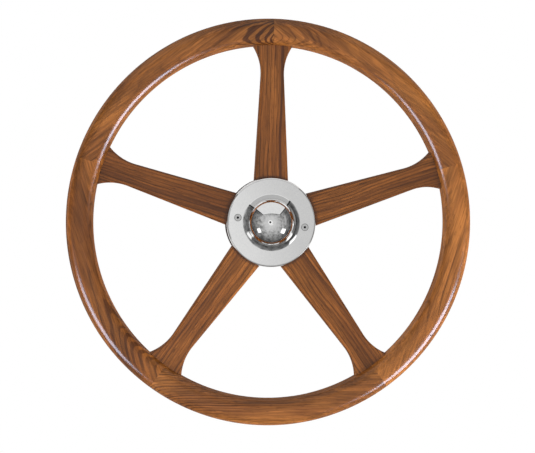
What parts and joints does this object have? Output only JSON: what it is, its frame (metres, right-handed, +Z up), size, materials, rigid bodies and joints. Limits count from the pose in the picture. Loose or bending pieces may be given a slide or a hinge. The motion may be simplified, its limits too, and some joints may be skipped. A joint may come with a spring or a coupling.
{
  "type": "boat steering wheel",
  "caption": "Round teak boat steering wheel with flat flared spokes, a polished steel hub for a tapered shaft and a pull-off cap over the shaft nut.",
  "frame": {"origin": "on the wheel's axis, at the seat of the shaft's nut, in the middle plane of the rim and the spokes", "axes": "+Y along the axis, away from the helmsman, the way the shaft leaves the hub; -Y is the front with the cap; +Z up along the top spoke; +X to the right seen from the front"},
  "size_m": [0.45, 0.0615, 0.45],
  "materials": {
    "teak_rim": "varnished",
    "teak_spokes": "varnished",
    "teak_dowel": "plain",
    "hub": "polished",
    "cap": "polished",
    "screws": "satin",
    "seal": "matt"
  },
  "bodies": {
    "wheel": {"rim_segment_1": "teak_rim", "rim_segment_2": "teak_rim", "rim_segment_3": "teak_rim", "rim_segment_4": "teak_rim", "rim_segment_5": "teak_rim", "spoke_1": "teak_spokes", "spoke_2": "teak_spokes", "spoke_3": "teak_spokes", "spoke_4": "teak_spokes", "spoke_5": "teak_spokes", "rim_dowel_1": "teak_dowel", "rim_dowel_2": "teak_dowel", "rim_dowel_3": "teak_dowel", "rim_dowel_4": "teak_dowel", "rim_dowel_5": "teak_dowel", "hub_body": "hub", "front_flange": "hub", "rear_screw_1": "screws", "rear_screw_2": "screws", "rear_screw_3": "screws", "rear_screw_4": "screws", "rear_screw_5": "screws", "front_screw_1": "screws", "front_screw_2": "screws"},
    "cap": {"centre_cap": "cap", "cap_seal": "seal"}
  },
  "joints": [
    {"name": "cap_pull", "type": "slide", "parent": "wheel", "child": "cap", "axis": [0, -1, 0], "range_m": [0, 0.009]}
  ]
}
